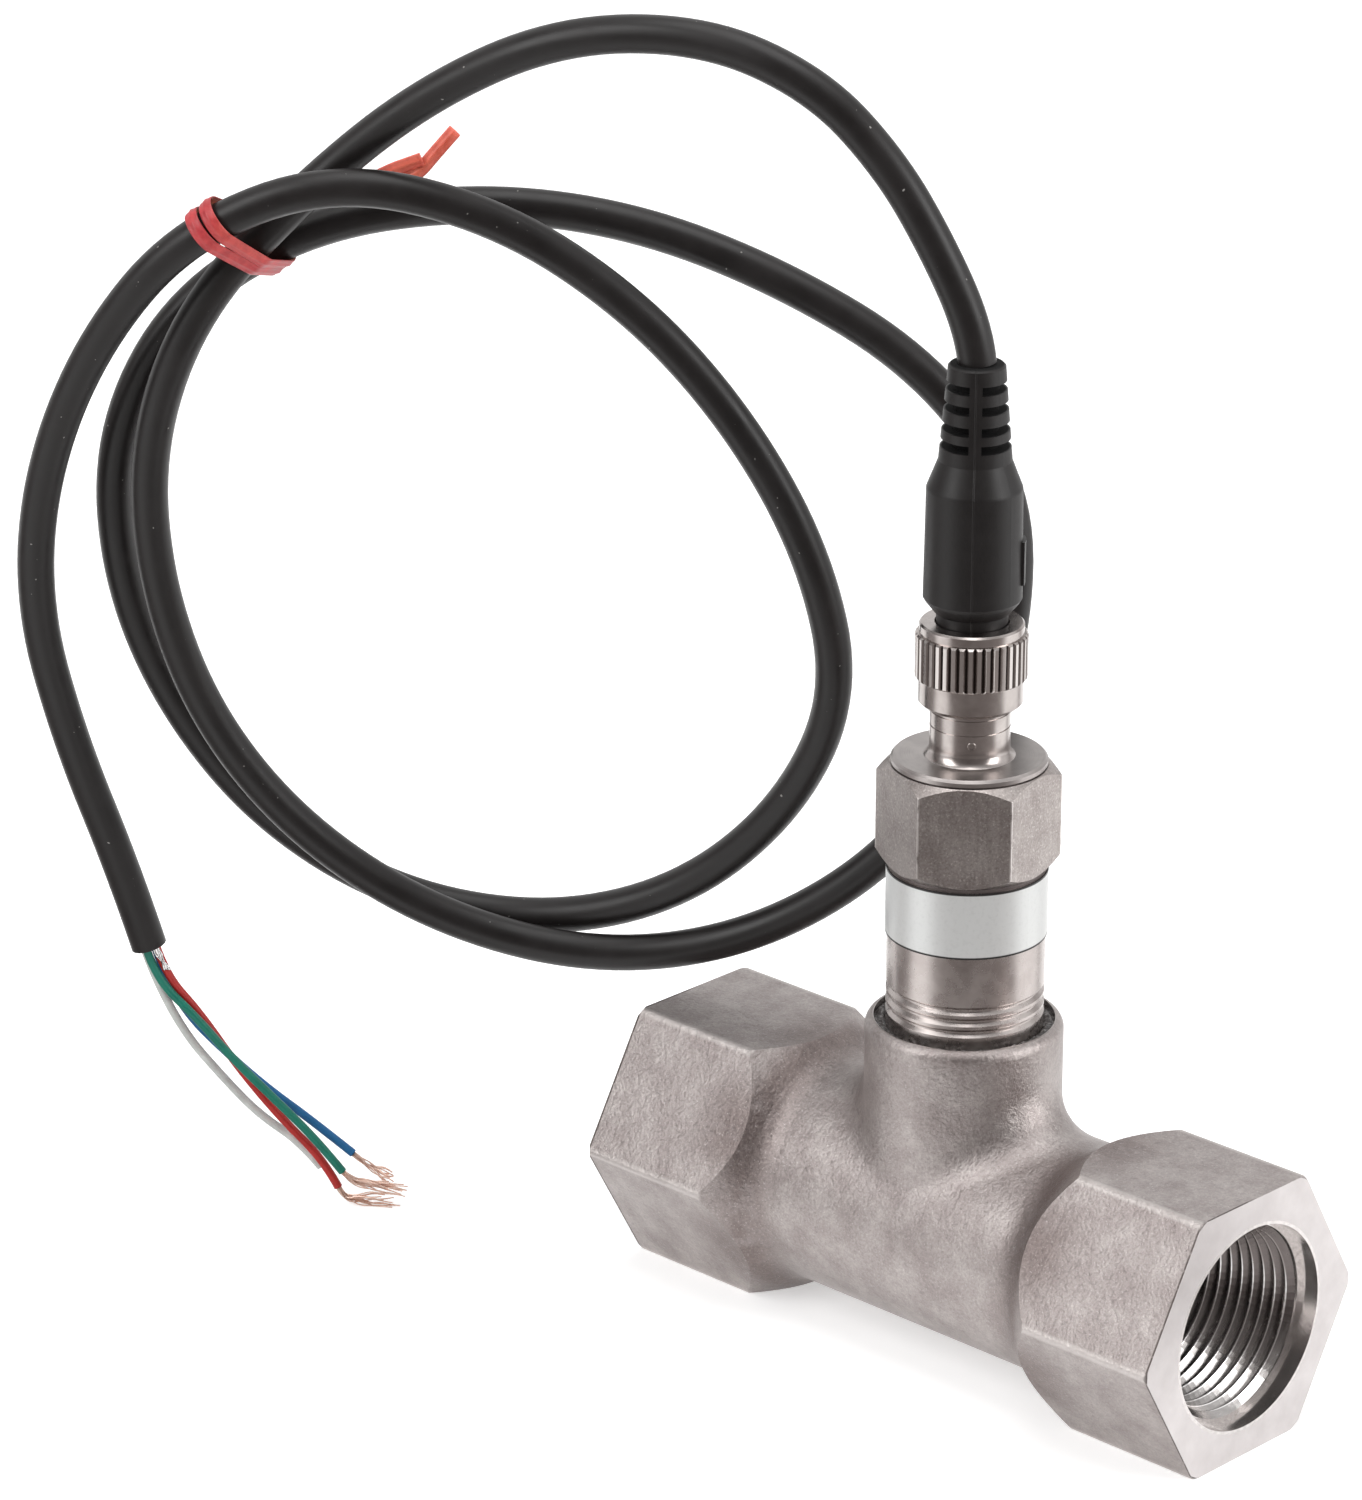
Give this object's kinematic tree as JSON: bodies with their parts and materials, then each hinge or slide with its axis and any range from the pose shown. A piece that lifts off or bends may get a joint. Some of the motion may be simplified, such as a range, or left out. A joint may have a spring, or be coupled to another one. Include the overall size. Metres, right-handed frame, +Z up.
{
  "type": "thermal dispersion flow switch",
  "caption": "Cast pipe tee with a turned thermal flow probe in its branch and a plug-in cable with bare leads on top.",
  "frame": {"origin": "centre of the two standing hex flats' plane, under the sensor's axis", "axes": "+X along the pipe towards the outlet, +Z up the sensor, -Y the side seen from the front"},
  "size_m": [0.1687, 0.0855, 0.179],
  "materials": {
    "cast_steel": "matt sand-cast stainless steel",
    "housing_steel": "fine turned stainless steel",
    "cap_steel": "dull drawn stainless hexagon",
    "nickel": "bright nickel plate",
    "label_silver": "silver-grey film with thin dark edge lines",
    "sealant": "dark grey grainy thread sealant",
    "seal_rubber": "black rubber",
    "overmould": "black moulded polyurethane",
    "jacket": "black flexible jacket, half matt",
    "insulator": "black moulded insulator",
    "contact_gold": "thin gold plate",
    "copper": "bare copper strands",
    "wire_grey": "light grey insulation",
    "wire_green": "green insulation",
    "wire_blue": "blue insulation",
    "wire_red": "red insulation",
    "tie_red": "red flat band",
    "ceramic": "white ceramic chip",
    "lead_wire": "tinned wire",
    "potting": "pale heat-conducting filler",
    "board": "green board",
    "component_black": "black component bodies"
  },
  "bodies": {
    "switch": {"tee_body": "cast_steel", "thread_sealant": "sealant", "sensor_housing": "housing_steel", "probe_tip": "housing_steel", "heated_sensor": "ceramic", "reference_sensor": "ceramic", "sensor_leads": "lead_wire", "probe_filler": "potting", "circuit_board": "board", "board_components": "component_black", "board_leads": "lead_wire", "label_band": "label_silver", "cap_seal_ring": "seal_rubber", "hex_cap": "cap_steel", "connector_seal_ring": "seal_rubber", "connector_shell": "nickel", "pin_carrier": "insulator", "contact_pin_1": "contact_gold", "contact_pin_2": "contact_gold", "contact_pin_3": "contact_gold", "contact_pin_4": "contact_gold"},
    "plug": {"plug_overmould": "overmould", "socket_carrier": "insulator", "contact_socket_1": "contact_gold", "contact_socket_2": "contact_gold", "contact_socket_3": "contact_gold", "contact_socket_4": "contact_gold", "nut_retaining_ring": "nickel", "face_seal": "seal_rubber", "cable": "jacket", "wire_grey": "wire_grey", "wire_green": "wire_green", "wire_blue": "wire_blue", "wire_red": "wire_red", "bare_end_green": "copper", "bare_end_blue": "copper", "bare_end_red": "copper", "cable_tie": "tie_red"},
    "nut": {"coupling_nut": "nickel"}
  },
  "joints": [
    {"name": "plug_lift", "type": "slide", "parent": "switch", "child": "plug", "axis": [0, 0, 1], "range_m": [0, 0.005]},
    {"name": "nut_turn", "type": "hinge", "parent": "plug", "child": "nut", "pos_m": [0, 0, 0.096], "axis": [0, 0, 1], "range_deg": [0, 1802]}
  ],
  "couplings": [
    {"joint": "nut_turn", "follows": "plug_lift", "rad_per_m": 6283.2}
  ]
}
